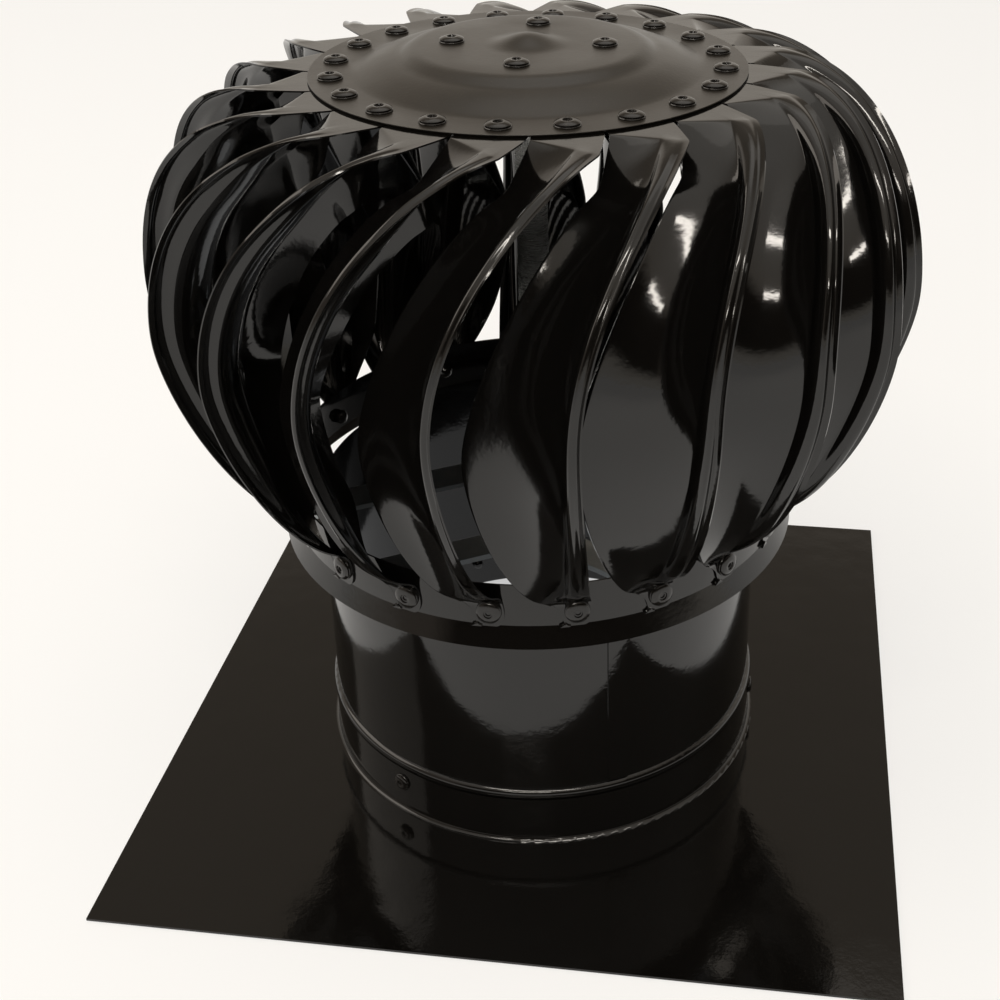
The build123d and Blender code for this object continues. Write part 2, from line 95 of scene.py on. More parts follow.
class VaneSizes(bpy.types.PropertyGroup):
    number: count("Vanes", "Vanes round the head", 20)
    first: turn("First vane", "Angle of the first vane's cap rivet", -52.7)
    sheet: length("Sheet", "Thickness of the vane sheet", 0.5 * MM)
    bead_width: length("Bead width", "Width of the stiffening bead", 6.4 * MM)
    bead_height: length("Bead height", "Height of the stiffening bead", 2.5 * MM)
    bead_to_lip: length("Lip", "Flat strip between the bead and the lip", 1.4 * MM)
    tip_radius: length("Tip radius", "How far out the pointed tip stands", 83.0 * MM)
    tip_angle: turn("Tip angle", "Tip ahead of the cap rivet", 2.5)
    tab_top: length("Tab top", "Height of the tab's upper face", 239.4 * MM)
    belly_radius: length("Belly radius", "Widest radius of the lips", 122.5 * MM)
    belly_height: length("Belly height", "Height of the widest place", 173.5 * MM)
    belly_lag: turn("Belly lag", "Lip at the widest place behind the cap rivet", -22.9)
    back_radius: length("Inner edge radius", "Widest radius of the inner edges", 99.6 * MM)
    back_height: length("Inner edge height", "Height of that widest place", 158.0 * MM)
    back_lag: turn("Inner edge lag", "Inner edge there behind the cap rivet", -39.9)
    return_width: length("Return width", "How far the folded inner edge runs on behind the crease", 6.5 * MM)
    return_depth: length("Return depth", "How far the folded inner edge goes towards the shaft", 13.0 * MM)
    hollow: length("Hollow", "How far the vane is scooped inwards between lip and inner edge", 5.8 * MM)
    corner_radius: length("Corner radius", "Radius of the corner under the tab", 79.0 * MM)
    corner_lag: turn("Corner lag", "Corner behind the cap rivet", -14.7)
    corner_drop: length("Corner drop", "Corner below the tab's upper face", 11.0 * MM)
    foot_radius: length("Foot radius", "Outer face of the foot on the ring", 84.0 * MM)
    foot_lag: turn("Foot rivet lag", "Foot rivet behind the cap rivet", -20.5)
    foot_rivet_height: length("Foot rivet height", "Height of the ring's rivets", 98.5 * MM)
    foot_lip_lag: turn("Foot lip lag", "Lip at the foot, behind the cap rivet", -18.0)
    foot_lip_rise: length("Foot lip rise", "Lip there above the foot rivet", 5.4 * MM)
    foot_back_lag: turn("Foot inner edge lag", "Inner edge at the foot, behind the cap rivet", -26.1)
    foot_back_rise: length("Foot inner edge rise", "Inner edge there above the foot rivet", 2.9 * MM)
    tab_left: turn("Tab left side", "Left side of the flat tab, from the cap rivet", -9.7)
    tab_right: turn("Tab right side", "Right side of the flat tab, from the cap rivet", 7.8)
    tab_end: length("Tab end", "How far out the right side of the tab runs", 67.2 * MM)
    tab_bend: length("Tab bend", "Where the left side of the tab bends down", 68.8 * MM)
    rows: count("Rows", "Rows of faces down the vane", 26)


class RivetSizes(bpy.types.PropertyGroup):
    head_radius: length("Head radius", "Radius of a rivet's flange", 3.9 * MM)
    head_height: length("Head height", "Height of a rivet's dome", 1.7 * MM)
    shank_radius: length("Shank radius", "Radius of the rivet body", 2.0 * MM)
    mandrel_radius: length("Mandrel hole", "Radius of the hollow left by the mandrel", 1.35 * MM)
    small: plain("Collar rivet scale", "Collar rivets against head rivets", 0.78)
    steps: count("Steps", "Faces round a rivet", 28)
    cap_circle: length("Cap circle", "Radius of the circle of rivets in the cap's rim", 59.75 * MM)
    cap_grip: length("Cap grip", "Thickness that the cap's rivets hold together", 1.4 * MM)
    hub_number: count("Hub rivets", "Rivets in the cap's raised middle", 4)
    hub_first: turn("First hub rivet", "Angle of the first of them", 1.2)
    hub_circle: length("Hub circle", "Radius of their circle", 23.3 * MM)
    hub_grip: length("Hub grip", "Thickness that the hub's rivets hold together", 2.4 * MM)
    ring_grip: length("Ring grip", "Thickness that the ring's rivets hold together", 1.2 * MM)
    collar_number: count("Collar rivets", "Rivets through collar and neck", 3)
    collar_radius: length("Collar radius", "Outer face of the collar", 75.35 * MM)
    collar_height: length("Collar rivet height", "Height of the collar's rivets", 12.0 * MM)
    collar_grip: length("Collar grip", "Thickness that the collar's rivets hold together", 1.5 * MM)


class Finishes(bpy.types.PropertyGroup):
    enamel: colour("Enamel", "Gloss black stoved enamel", "#0B0A09")
    enamel_dust: colour("Enamel dust", "Specks of dust on the gloss enamel", "#2A2724")
    cap: colour("Cap", "Satin black stoved enamel of the cap", "#17140F")
    cap_film: colour("Cap film", "Cap where the film of dust is thickest", "#2C2721")
    cap_dust: colour("Cap dust", "Specks of dust on the cap", "#4A443C")
    rivet: colour("Rivet", "Black lacquered aluminium rivet", "#100E0C")
    rivet_worn: colour("Worn rivet", "Rivet where its lacquer is worn", "#4A4743")
    zinc: colour("Zinc", "Bright zinc plate", "#B9BCBB")
    zinc_cloud: colour("Clouded zinc", "Zinc plate where it is clouded", "#9EA3A6")
    steel: colour("Steel", "Ground steel", "#A9A9A6")
    steel_cloud: colour("Clouded steel", "Ground steel where it is duller", "#8E8E8C")
    brass: colour("Brass", "Pressed brass cage", "#B08D57")
    brass_oil: colour("Oiled brass", "Brass under a film of oil", "#7A5F36")
    floor: colour("Floor", "Matt white studio floor", "#F7F7F5")


class StageSizes(bpy.types.PropertyGroup):
    lens: plain("Lens", "Focal length in mm on a 36 mm wide sensor", 54.94)
    heading: turn("Camera heading", "Turn of the view from straight ahead", 8.12)
    tilt: turn("Camera tilt", "How far the camera looks down", 26.53)
    roll: turn("Camera roll", "Roll of the camera", -0.75)
    shift_x: plain("Shift X", "Sideways shift of the lens", -0.07)
    shift_y: plain("Shift Y", "Upward shift of the lens", -0.15)
    glow: plain("Floor glow", "Share of the floor that glows white wherever it is seen", 0.55)


def sizes(group):
    """One of the add-on's property groups, as the scene holds it."""
    return getattr(bpy.context.scene, group)


# ------------------------------------------------------------------ materials

def linear(hex_value):
    """sRGB hex to the linear colour that a shader socket takes."""
    out = []
    for i in (1, 3, 5):
        c = int(hex_value[i:i + 2], 16) / 255
        out.append(c / 12.92 if c <= 0.04045 else ((c + 0.055) / 1.055) ** 2.4)
    return (*out, 1.0)


def add_node(tree, kind, settings=None, inputs=None, links=None):
    """One node: its settings, the values of its sockets, and what is linked into them."""
    node = tree.nodes.new(kind)
    for key, value in (settings or {}).items():
        setattr(node, key, value)
    for key, value in (inputs or {}).items():
        node.inputs[key].default_value = value
    for key, source in (links or {}).items():
        tree.links.new(source, node.inputs[key])
    return node


def new_material(name):
    """A material, its node tree, its shader, and coordinates that stay with the object."""
    material = bpy.data.materials.new(name)
    material.use_nodes = True
    tree = material.node_tree
    shader = tree.nodes["Principled BSDF"]
    place = add_node(tree, "ShaderNodeTexCoord").outputs["Object"]
    return material, tree, shader, place


# Most of a noise's values lie between these two.
NOISE_SPAN = {"From Min": 0.3, "From Max": 0.7}


def blotches(millimetres):
    """Scale at which the blotches of a noise are about this many millimetres across."""
    return 1 / (millimetres * MM)


def dress(tree, shader, base, roughness, normal):
    """Link the colour, roughness and normal of a shader."""
    tree.links.new(base.outputs[2], shader.inputs["Base Color"])
    tree.links.new(roughness.outputs["Result"], shader.inputs["Roughness"])
    tree.links.new(normal.outputs["Normal"], shader.inputs["Normal"])


def gloss_enamel():
    # Stoved black enamel on galvanised sheet: deep black and mirror gloss, with the slow ripple and the fine
    # orange peel of sprayed paint, a gloss that varies a little from place to place, and specks of dust. The
    # specks are drawn half a millimetre wide, several times as coarse as dust, so that they show.
    material, tree, shader, place = new_material("stoved_gloss_black_enamel")
    finish = sizes("turbine_finishes")
    ripple = add_node(tree, "ShaderNodeTexNoise", inputs={"Scale": blotches(14.0), "Detail": 1.0},
                      links={"Vector": place})
    peel = add_node(tree, "ShaderNodeTexNoise", inputs={"Scale": blotches(1.6), "Detail": 2.0},
                    links={"Vector": place})
    spots = add_node(tree, "ShaderNodeTexNoise", inputs={"Scale": blotches(0.5), "Detail": 1.0},
                     links={"Vector": place})
    film = add_node(tree, "ShaderNodeTexNoise", inputs={"Scale": blotches(38.0), "Detail": 4.0},
                    links={"Vector": place})
    waves = add_node(tree, "ShaderNodeBump", inputs={"Distance": 0.10 * MM},
                     links={"Height": ripple.outputs["Fac"]})
    normal = add_node(tree, "ShaderNodeBump", inputs={"Distance": 0.018 * MM},
                      links={"Height": peel.outputs["Fac"], "Normal": waves.outputs["Normal"]})
    specks = add_node(tree, "ShaderNodeMapRange",
                      inputs={"From Min": 0.70, "From Max": 0.78, "To Min": 0.0, "To Max": 0.5},
                      links={"Value": spots.outputs["Fac"]})
    base = add_node(tree, "ShaderNodeMix", {"data_type": "RGBA"},
                    {6: linear(finish.enamel), 7: linear(finish.enamel_dust)}, {0: specks.outputs["Result"]})
    roughness = add_node(tree, "ShaderNodeMapRange", inputs={**NOISE_SPAN, "To Min": 0.055, "To Max": 0.12},
                         links={"Value": film.outputs["Fac"]})
    dress(tree, shader, base, roughness, normal)
    shader.inputs["IOR"].default_value = 1.5
    return material


def satin_enamel():
    # The same stoved black on the spun cap, sprayed last and drier: satin, with a coarser orange peel, and a
    # film and specks of dust, so that it takes an even warm grey from whatever stands behind it. The specks
    # are as coarse as on the gloss enamel.
    material, tree, shader, place = new_material("stoved_satin_black_enamel")
    finish = sizes("turbine_finishes")
    ripple = add_node(tree, "ShaderNodeTexNoise", inputs={"Scale": blotches(9.0), "Detail": 1.0},
                      links={"Vector": place})
    peel = add_node(tree, "ShaderNodeTexNoise", inputs={"Scale": blotches(1.1), "Detail": 3.0},
                    links={"Vector": place})
    dust = add_node(tree, "ShaderNodeTexNoise", inputs={"Scale": blotches(26.0), "Detail": 4.0},
                    links={"Vector": place})
    grains = add_node(tree, "ShaderNodeTexNoise", inputs={"Scale": blotches(0.45), "Detail": 1.0},
                      links={"Vector": place})
    waves = add_node(tree, "ShaderNodeBump", inputs={"Distance": 0.05 * MM},
                     links={"Height": ripple.outputs["Fac"]})
    normal = add_node(tree, "ShaderNodeBump", inputs={"Distance": 0.035 * MM},
                      links={"Height": peel.outputs["Fac"], "Normal": waves.outputs["Normal"]})
    film = add_node(tree, "ShaderNodeMapRange", inputs={**NOISE_SPAN, "To Min": 0.0, "To Max": 0.35},
                    links={"Value": dust.outputs["Fac"]})
    filmed = add_node(tree, "ShaderNodeMix", {"data_type": "RGBA"},
                      {6: linear(finish.cap), 7: linear(finish.cap_film)}, {0: film.outputs["Result"]})
    specks = add_node(tree, "ShaderNodeMapRange",
                      inputs={"From Min": 0.68, "From Max": 0.76, "To Min": 0.0, "To Max": 0.5},
                      links={"Value": grains.outputs["Fac"]})
    base = add_node(tree, "ShaderNodeMix", {"data_type": "RGBA"}, {7: linear(finish.cap_dust)},
                    {0: specks.outputs["Result"], 6: filmed.outputs[2]})
    roughness = add_node(tree, "ShaderNodeMapRange", inputs={**NOISE_SPAN, "To Min": 0.30, "To Max": 0.40},
                         links={"Value": dust.outputs["Fac"]})
    dress(tree, shader, base, roughness, normal)
    shader.inputs["IOR"].default_value = 1.5
    return material


def lacquered_rivet():
    # Aluminium blind rivets lacquered black: glossy, with patches where the lacquer is worn thin.
    material, tree, shader, place = new_material("black_lacquered_aluminium_rivet")
    finish = sizes("turbine_finishes")
    wear = add_node(tree, "ShaderNodeTexNoise", inputs={"Scale": blotches(1.2), "Detail": 3.0},
                    links={"Vector": place})
    grain = add_node(tree, "ShaderNodeTexNoise", inputs={"Scale": blotches(0.35), "Detail": 2.0},
                     links={"Vector": place})
    worn = add_node(tree, "ShaderNodeMapRange",
                    inputs={"From Min": 0.62, "From Max": 0.75, "To Min": 0.0, "To Max": 0.35},
                    links={"Value": wear.outputs["Fac"]})
    base = add_node(tree, "ShaderNodeMix", {"data_type": "RGBA"},
                    {6: linear(finish.rivet), 7: linear(finish.rivet_worn)}, {0: worn.outputs["Result"]})
    roughness = add_node(tree, "ShaderNodeMapRange", inputs={**NOISE_SPAN, "To Min": 0.10, "To Max": 0.22},
                         links={"Value": wear.outputs["Fac"]})
    normal = add_node(tree, "ShaderNodeBump", inputs={"Distance": 0.008 * MM},
                      links={"Height": grain.outputs["Fac"]})
    dress(tree, shader, base, roughness, normal)
    shader.inputs["IOR"].default_value = 1.5
    return material


def zinc_plate():
    # Zinc electroplate on pressed steel: pale grey metal, satin, with cloudy passivation. Its grain is drawn
    # at 0.6 mm, coarser than the plating's own crystals, so that it shows.
    material, tree, shader, place = new_material("bright_zinc_plated_steel")
    finish = sizes("turbine_finishes")
    cloud = add_node(tree, "ShaderNodeTexNoise", inputs={"Scale": blotches(9.0), "Detail": 4.0},
                     links={"Vector": place})
    grain = add_node(tree, "ShaderNodeTexNoise", inputs={"Scale": blotches(0.6), "Detail": 2.0},
                     links={"Vector": place})
    shade = add_node(tree, "ShaderNodeMapRange", inputs={**NOISE_SPAN, "To Min": 0.0, "To Max": 1.0},
                     links={"Value": cloud.outputs["Fac"]})
    base = add_node(tree, "ShaderNodeMix", {"data_type": "RGBA"},
                    {6: linear(finish.zinc), 7: linear(finish.zinc_cloud)}, {0: shade.outputs["Result"]})
    roughness = add_node(tree, "ShaderNodeMapRange", inputs={**NOISE_SPAN, "To Min": 0.28, "To Max": 0.42},
                         links={"Value": cloud.outputs["Fac"]})
    normal = add_node(tree, "ShaderNodeBump", inputs={"Distance": 0.01 * MM},
                      links={"Height": grain.outputs["Fac"]})
    dress(tree, shader, base, roughness, normal)
    shader.inputs["Metallic"].default_value = 1.0
    return material


def ground_steel(name, smoothest, scratch_mm):
    # Ground or polished steel: bright metal with fine rings round its axis, left by the wheel. The rings are
    # drawn 0.1 to 0.2 mm apart, coarser than real ones, so that they show.
    material, tree, shader, place = new_material(name)
    finish = sizes("turbine_finishes")
    stretched = add_node(tree, "ShaderNodeMapping", inputs={"Scale": (0.25, 0.25, 6.0)},
                         links={"Vector": place})
    rings = add_node(tree, "ShaderNodeTexNoise", inputs={"Scale": blotches(scratch_mm), "Detail": 2.0},
                     links={"Vector": stretched.outputs["Vector"]})
    cloud = add_node(tree, "ShaderNodeTexNoise", inputs={"Scale": blotches(5.0), "Detail": 2.0},
                     links={"Vector": place})
    base = add_node(tree, "ShaderNodeMix", {"data_type": "RGBA"},
                    {6: linear(finish.steel), 7: linear(finish.steel_cloud)}, {0: cloud.outputs["Fac"]})
    roughness = add_node(tree, "ShaderNodeMapRange",
                         inputs={**NOISE_SPAN, "To Min": smoothest, "To Max": smoothest + 0.12},
                         links={"Value": rings.outputs["Fac"]})
    normal = add_node(tree, "ShaderNodeBump", inputs={"Distance": 0.003 * MM},
                      links={"Height": rings.outputs["Fac"]})
    dress(tree, shader, base, roughness, normal)
    shader.inputs["Metallic"].default_value = 1.0
    return material


def pressed_brass():
    # Pressed brass strip: warm metal, dulled by oil in patches of a few millimetres.
    material, tree, shader, place = new_material("pressed_brass_cage")
    finish = sizes("turbine_finishes")
    film = add_node(tree, "ShaderNodeTexNoise", inputs={"Scale": blotches(2.5), "Detail": 3.0},
                    links={"Vector": place})
    base = add_node(tree, "ShaderNodeMix", {"data_type": "RGBA"},
                    {6: linear(finish.brass), 7: linear(finish.brass_oil)}, {0: film.outputs["Fac"]})
    roughness = add_node(tree, "ShaderNodeMapRange", inputs={**NOISE_SPAN, "To Min": 0.25, "To Max": 0.45},
                         links={"Value": film.outputs["Fac"]})
    normal = add_node(tree, "ShaderNodeBump", inputs={"Distance": 0.01 * MM},
                      links={"Height": film.outputs["Fac"]})
    dress(tree, shader, base, roughness, normal)
    shader.inputs["Metallic"].default_value = 1.0
    return material


def gloss_enamel_once():
    """The gloss enamel that sheet and vanes share."""
    return bpy.data.materials.get("stoved_gloss_black_enamel") or gloss_enamel()


def rivet_finish_once():
    """The lacquer that all rows of rivets share."""
    return bpy.data.materials.get("black_lacquered_aluminium_rivet") or lacquered_rivet()


def give(obj, material):
    """The object gets this material and no other."""
    obj.data.materials.clear()
    obj.data.materials.append(material)


def repaint(material, *nodes):
    """CAD nodes keep their mesh and get this material in every slot."""
    for name in nodes:
        for held in frame["nodes"][name].material_slots:
            held.material = material


# ------------------------------------------------------------------ modelling helpers

def object_mode():
    if bpy.context.mode != "OBJECT":
        bpy.ops.object.mode_set(mode="OBJECT")


def start_from_point(name, place):
    """A small plane drawn together into one vertex, left selected in edit mode."""
    object_mode()
    bpy.ops.object.select_all(action="DESELECT")
    bpy.ops.mesh.primitive_plane_add(size=1 * MM, location=(0, 0, 0))
    obj = bpy.context.object
    obj.name = name
    obj.data.name = name
    bpy.ops.object.mode_set(mode="EDIT")
    bpy.ops.mesh.select_all(action="SELECT")
    bpy.ops.mesh.merge(type="CENTER")
    bpy.ops.transform.translate(value=place)
    return obj


def draw_line(places):
    """Extrude the selected vertex along these places; the first is where it stands already."""
    for here, there in zip(places, places[1:]):
        step = Vector(there) - Vector(here)
        bpy.ops.mesh.extrude_vertices_move(TRANSFORM_OT_translate={"value": step})


def pick(obj, test):
    """Select the vertices whose place passes the test, and nothing else."""
    mesh = bmesh.from_edit_mesh(obj.data)
    mesh.select_mode = {"VERT"}
    for part in (mesh.faces, mesh.edges, mesh.verts):
        for element in part:
            element.select = False
    for vertex in mesh.verts:
        vertex.select = test(vertex.co)
    mesh.select_flush(True)
    bmesh.update_edit_mesh(obj.data)


def turn_about(axis, angle, centre):
    """Turn the selection counterclockwise about a world axis; the operator counts the other way."""
    bpy.ops.transform.rotate(value=-angle, orient_axis=axis, center_override=centre)


def tidy_shell():
    bpy.ops.mesh.select_all(action="SELECT")
    bpy.ops.mesh.remove_doubles(threshold=0.002 * MM)
    bpy.ops.mesh.normals_make_consistent(inside=False)


def spin_round(steps):
    """Spin the drawn outline into a full round about the Z axis."""
    bpy.ops.mesh.select_all(action="SELECT")
    bpy.ops.mesh.spin(steps=steps, angle=math.tau, center=(0, 0, 0), axis=(0, 0, 1))
    tidy_shell()


def apply_modifier(obj, kind, **settings):
    object_mode()
    bpy.context.view_layer.objects.active = obj
    modifier = obj.modifiers.new(kind.lower(), kind)
    for key, value in settings.items():
        setattr(modifier, key, value)
    bpy.ops.object.modifier_apply(modifier=modifier.name)


def smooth(obj, angle):
    """Smooth shading, with creases sharper than this many degrees left hard."""
    object_mode()
    bpy.ops.object.select_all(action="DESELECT")
    obj.select_set(True)
    bpy.context.view_layer.objects.active = obj
    bpy.ops.object.shade_smooth_by_angle(angle=math.radians(angle))


def place_copy(pattern, name, matrix):
    """A copy with its own mesh, its place put into the mesh."""
    copy = pattern.copy()
    copy.data = pattern.data.copy()
    copy.name = name
    copy.data.name = name
    bpy.context.collection.objects.link(copy)
    copy.data.transform(matrix)
    return copy


def join_all(objects, name):
    """Join the objects into the first of them."""
    object_mode()
    bpy.ops.object.select_all(action="DESELECT")
    for obj in objects:
        obj.select_set(True)
    bpy.context.view_layer.objects.active = objects[0]
    bpy.ops.object.join()
    objects[0].name = name
    objects[0].data.name = name
    return objects[0]


def polar(radius, angle, height=0.0):
    return Vector((radius * math.cos(angle), radius * math.sin(angle), height))


# ------------------------------------------------------------------ vanes

EDGE_STEPS = 64    # places from the belly of an edge to either of its ends
TIP_SHARE = 0.09    # share of the lip's length that belongs to the pointed tip
OUTWARDS = Vector((1, 0, 0))    # away from the shaft, for a vane at angle 0
DOWN = Vector((0, 0, -1))


def bulge(share, fullness):
    """Share of the full bulge left at a share of the way from the belly to an end."""
    return max(0.0, 1 - share**fullness) ** (1 / fullness)


def barrel_edge(top, belly, foot, fullness_up, fullness_down):
    """Many places along a vane's edge, from (radius, angle, height) of its top, belly and foot."""
    places = []
    for end, fullness, falling in ((top, fullness_up, True), (foot, fullness_down, False)):
        for i in range(0 if falling else 1, EDGE_STEPS + 1):
            quarter = (1 - i / EDGE_STEPS if falling else i / EDGE_STEPS) * math.pi / 2
            share = math.sin(quarter) ** (2 / fullness)
            out = bulge(share, fullness)
            places.append(polar(*(e + (b - e) * (out if k < 2 else 1 - share)
                                  for k, (e, b) in enumerate(zip(end, belly)))))
    return places


def along_line(places, share):
    """Place and direction at a share of the line's length."""
    runs = [(b - a).length for a, b in zip(places, places[1:])]
    left = share * sum(runs)
    for a, b, run in zip(places, places[1:], runs):
        if left <= run:
            return a.lerp(b, left / run), (b - a).normalized()
        left -= run
    return places[-1], (places[-1] - places[-2]).normalized()


def vane_edges(s):
    """Places along the lip and along the inner edge."""
    lip = barrel_edge((s.tip_radius, s.tip_angle, s.tab_top),
                      (s.belly_radius, s.belly_lag, s.belly_height),
                      (s.foot_radius, s.foot_lip_lag, s.foot_rivet_height + s.foot_lip_rise),
                      fullness_up=2.0, fullness_down=1.5)
    back = barrel_edge((s.corner_radius, s.corner_lag, s.tab_top - s.corner_drop),
                       (s.back_radius, s.back_lag, s.back_height),
                       (s.foot_radius, s.foot_back_lag, s.foot_rivet_height + s.foot_back_rise),
                       fullness_up=1.52, fullness_down=1.6)
    return lip, back


def tab_rows(s, lip, corner):
    """Rows of the flat tab, and of the bend from it down to the vane's corner.

    A row is its place on the lip, its place on the inner edge, the direction along the vane, and the shares
    of the full bead, hollow and folded edge."""
    rows = []
    for radius in (54.0 * MM, 57.0 * MM, 61.0 * MM, 65.0 * MM, s.tab_end):
        rows.append((polar(radius, s.tab_right, s.tab_top), polar(radius, s.tab_left, s.tab_top),
                     OUTWARDS, 0.0, 0.0, 0.0))
    tip = polar(s.tip_radius, s.tip_angle, s.tab_top)
    bend = polar(s.tab_bend, s.tab_left, s.tab_top)
    near_end = tip.lerp(polar(s.tab_end, s.tab_right, s.tab_top), 0.04)
    rows.append((near_end, bend - 0.6 * MM * OUTWARDS, OUTWARDS, 0.0, 0.0, 0.0))
    rows.append((tip, bend, corner - bend + along_line(lip, TIP_SHARE)[0] - tip, 0.12, 0.0, 0.15))
    for share in (0.35, 0.7):
        place, heading = along_line(lip, TIP_SHARE * share)
        rows.append((place, bend.lerp(corner, share), heading + (corner - bend).normalized(),
                     0.1 + 0.5 * share, 0.06 * share, 0.15 + share))
    return rows


def blade_rows(s, lip, back):
    """Rows from the corner under the tab down to the foot, where bead, hollow and folded edge fade out."""
    rows = []
    last = s.rows - 1
    for i in range(s.rows):
        share = i / last
        lip_share = TIP_SHARE + (1 - TIP_SHARE) * share
        on_lip, lip_heading = along_line(lip, lip_share)
        on_back, back_heading = along_line(back, share)
        heading = lip_heading + back_heading
        if i == last:
            heading = heading.normalized() + DOWN
        bead = min(1.0, lip_share / 0.16, (1 - lip_share) / 0.14)
        hollow = math.sin(math.pi / 2 * min(1.0, 0.10 + share / 0.18, (1 - share) / 0.34))
        fold = min(1.0, 0.9 + share, (1 - share) / 0.15)
        rows.append((on_lip, on_back, heading, bead, hollow, fold))
    return rows


def foot_rows(s):
    """Rows of the rounded foot that lies on the ring: drop below the rivet and half width, in millimetres."""
    rows = []
    for drop, half in ((0.3, 4.9), (2.6, 4.55), (4.6, 3.7), (5.2, 2.2)):
        middle = polar(s.foot_radius, s.foot_lag, s.foot_rivet_height - drop * MM)
        sideways = polar(half * MM, s.foot_lag + math.pi / 2)
        rows.append((middle + sideways, middle - sideways, DOWN, 0.0, 0.0, 0.0))
    return rows


def vane_section(s, full):
    """Section of the unbent vane, from the lip to the crease: (distance from the lip, share of the bead)."""
    lip, w = s.bead_to_lip, s.bead_width
    bead = ((0.08, 0.06), (0.20, 0.74), (0.36, 1.0), (0.62, 1.0), (0.80, 0.74), (0.94, 0.06), (1.0, 0.0))
    rest = (0.10, 0.25, 0.42, 0.6, 0.8, 0.97, 1.0)
    section = [(0.0, 0.0), (lip * 0.85, 0.0)] + [(lip + across * w, rise) for across, rise in bead]
    return section + [(lip + w + t * (full - lip - w), 0.0) for t in rest]


def bent_vane():
    """One vane at angle 0: a scooped strip drawn row by row, then each row bent to its place.

    The strip runs from the lip at x = 0 to the crease at x = -full, and the folded edge lies beyond it.
    Each row is a line of vertices at its own y."""
    s = sizes("turbine_vanes")
    full, first_y, row_gap, near = 40 * MM, 1.0, 0.01, 0.01 * MM
    flat_from = s.bead_to_lip + s.bead_width
    section = vane_section(s, full)
    scoop = 4 * s.hollow / full**2
    places = [Vector((-x, first_y, -scoop * x * (full - x))) for x, _ in section]
    folded = ((0.35 * MM, 0.45 * MM), (3.2 * MM, 4.1 * MM), (s.return_width, s.return_depth))
    places += [Vector((-full - x, first_y, -z)) for x, z in folded]
    lip, back = vane_edges(s)
    rows = tab_rows(s, lip, back[0]) + blade_rows(s, lip, back) + foot_rows(s)
    obj = start_from_point("vane_pattern", places[0])
    draw_line(places)
    bpy.ops.mesh.select_all(action="SELECT")
    for _ in rows[1:]:
        bpy.ops.mesh.extrude_edges_move(TRANSFORM_OT_translate={"value": (0, row_gap, 0)})
    for i, (on_lip, on_back, heading, bead, hollow, fold) in enumerate(rows):
        y = first_y + row_gap * i
        across = on_lip - on_back
        wide = across.length
        across.normalize()
        along = (heading - across * heading.dot(across)).normalized()
        out = along.cross(across)

        def in_row(co):
            return abs(co.y - y) < row_gap / 5

        pick(obj, lambda co: in_row(co) and co.x > -full - near)
        bpy.ops.transform.resize(value=(1, 1, max(hollow, 0.003)), center_override=(0, y, 0))
        for rise in sorted({rise for _, rise in section if rise}):
            columns = [-x for x, height in section if height == rise]
            pick(obj, lambda co: in_row(co) and min(abs(co.x - x) for x in columns) < near)
            bpy.ops.transform.translate(value=(0, 0, bead * rise * s.bead_height))
        pick(obj, lambda co: in_row(co) and co.x < -full - near)
        kept = max(fold, 0.02)
        bpy.ops.transform.resize(value=(kept, 1, kept), center_override=(-full, y, 0))
        pick(obj, lambda co: in_row(co) and co.x < -flat_from - near)
        stretch = (wide - flat_from) / (full - flat_from)
        bpy.ops.transform.resize(value=(stretch, 1, 1), center_override=(-flat_from, y, 0))
        pick(obj, in_row)
        turned = Matrix((across, -along, out)).transposed().to_euler("XYZ")
        for axis, angle in zip("XYZ", turned):
            turn_about(axis, angle, (0, y, 0))
        bpy.ops.transform.translate(value=on_lip - Vector((0, y, 0)))
    tidy_shell()
    return obj


def face_outwards(obj, centre):
    """Turn the sheet's faces so that the belly looks away from the centre."""
    object_mode()
    belly = max(obj.data.polygons, key=lambda p: math.hypot(p.center.x, p.center.y))
    if belly.normal.dot(belly.center - centre) < 0:
        bpy.ops.object.mode_set(mode="EDIT")
        bpy.ops.mesh.select_all(action="SELECT")
        bpy.ops.mesh.flip_normals()
        object_mode()


class TURBINE_OT_vanes(bpy.types.Operator):
    """Twisted vanes with a bead near the lip and a folded inner edge"""
    bl_idname = "turbine.vanes"
    bl_label = "Vanes"

    def execute(self, context):
        s = sizes("turbine_vanes")
        pattern = bent_vane()
        face_outwards(pattern, Vector((0, 0, s.belly_height)))
        apply_modifier(pattern, "SUBSURF", levels=2, render_levels=2, boundary_smooth="PRESERVE_CORNERS")
        apply_modifier(pattern, "SOLIDIFY", thickness=s.sheet, offset=-1.0)
        give(pattern, gloss_enamel_once())
        smooth(pattern, 40)
        for i in range(s.number):
            angle = s.first + math.tau * i / s.number
            vane = place_copy(pattern, f"vane_{i + 1:02d}_sheet", Matrix.Rotation(angle, 4, "Z"))
            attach(vane, "rotor")
            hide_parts(f"vane_{i + 1:02d}")
        bpy.data.objects.remove(pattern, do_unlink=True)
        return {"FINISHED"}


# ------------------------------------------------------------------ rivets

